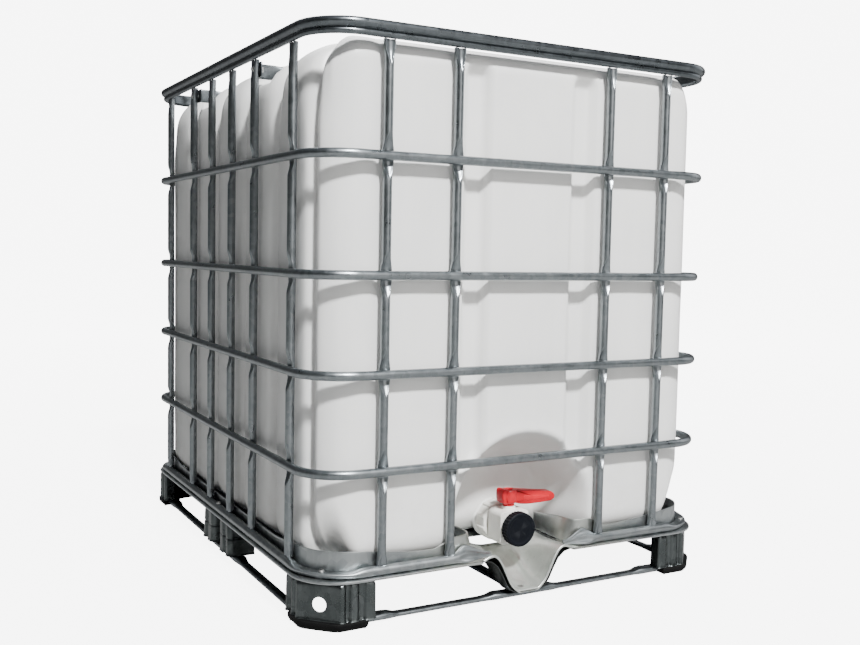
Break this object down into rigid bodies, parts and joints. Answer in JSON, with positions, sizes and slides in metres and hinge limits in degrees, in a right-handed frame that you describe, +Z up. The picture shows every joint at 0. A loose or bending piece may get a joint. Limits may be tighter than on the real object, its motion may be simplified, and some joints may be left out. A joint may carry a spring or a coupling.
{
  "type": "intermediate bulk container",
  "caption": "Caged intermediate bulk container: translucent white bottle in a galvanised tube cage on a sheet-steel skid pallet, with a screw lid on top and a lever ball valve low in front.",
  "frame": {"origin": "centre of the footprint on the floor", "axes": "+Z up, +X to the right when facing the valve, the valve and its cap face -Y"},
  "size_m": [1, 1.2, 1.16],
  "materials": {
    "galvanised": "hot-dip galvanised, satin with bright bends",
    "pallet_steel": "galvanised sheet, slightly dull",
    "fasteners": "zinc plated",
    "bottle_hdpe": "blow-moulded, semi-gloss, slightly translucent",
    "valve_white": "moulded, satin",
    "seat_ptfe": "smooth",
    "black_plastic": "moulded, satin",
    "red_plastic": "moulded, semi-gloss",
    "seal_rubber": "smooth"
  },
  "bodies": {
    "container": {"cage_ring_1": "galvanised", "cage_ring_2": "galvanised", "cage_ring_3": "galvanised", "cage_ring_4": "galvanised", "cage_top_rail": "galvanised", "cage_bottom_rail": "galvanised", "front_verticals": "galvanised", "rear_verticals": "galvanised", "left_verticals": "galvanised", "right_verticals": "galvanised", "top_crossbar_front": "galvanised", "top_crossbar_rear": "galvanised", "pallet_tray": "pallet_steel", "foot_front_left": "pallet_steel", "foot_front_right": "pallet_steel", "foot_rear_left": "pallet_steel", "foot_rear_right": "pallet_steel", "foot_mid_left": "pallet_steel", "foot_mid_right": "pallet_steel", "foot_mid_rear": "pallet_steel", "foot_centre": "pallet_steel", "valve_foot": "pallet_steel", "skid_ring": "pallet_steel", "centre_skid": "pallet_steel", "crossbar_bolts": "fasteners", "crossbar_nuts": "fasteners", "rail_bolts": "fasteners", "rail_nuts": "fasteners", "skid_rivets": "fasteners", "bottle": "bottle_hdpe", "valve_body": "valve_white", "union_nut": "valve_white", "seat_retainer": "valve_white", "ball_seats": "seat_ptfe", "foot_pads": "black_plastic", "outlet_gasket": "seal_rubber"},
    "lever": {"valve_lever": "red_plastic", "lever_screw": "fasteners", "valve_stem": "black_plastic", "stem_orings": "seal_rubber", "valve_ball": "valve_white"},
    "cap_carrier": {"cap_gasket": "seal_rubber"},
    "cap": {"outlet_cap": "black_plastic"},
    "lid_carrier": {"lid_gasket": "seal_rubber"},
    "lid": {"filling_lid": "black_plastic"}
  },
  "joints": [
    {"name": "lever_turn", "type": "hinge", "parent": "container", "child": "lever", "pos_m": [0, -0.512, 0.141], "axis": [0, 0, 1], "range_deg": [-90, 0]},
    {"name": "cap_slide", "type": "slide", "parent": "container", "child": "cap_carrier", "axis": [0, -1, 0], "range_m": [0, 0.0241]},
    {"name": "cap_turn", "type": "hinge", "parent": "cap_carrier", "child": "cap", "pos_m": [0, -0.55, 0.141], "axis": [0, -1, 0], "range_deg": [0, 1440]},
    {"name": "lid_slide", "type": "slide", "parent": "container", "child": "lid_carrier", "axis": [0, 0, 1], "range_m": [0, 0.0421]},
    {"name": "lid_turn", "type": "hinge", "parent": "lid_carrier", "child": "lid", "pos_m": [0, 0, 1.12], "axis": [0, 0, 1], "range_deg": [0, 2160]}
  ],
  "couplings": [
    {"joint": "cap_slide", "follows": "cap_turn", "m_per_rad": 0.00095493},
    {"joint": "lid_slide", "follows": "lid_turn", "m_per_rad": 0.0011141}
  ]
}
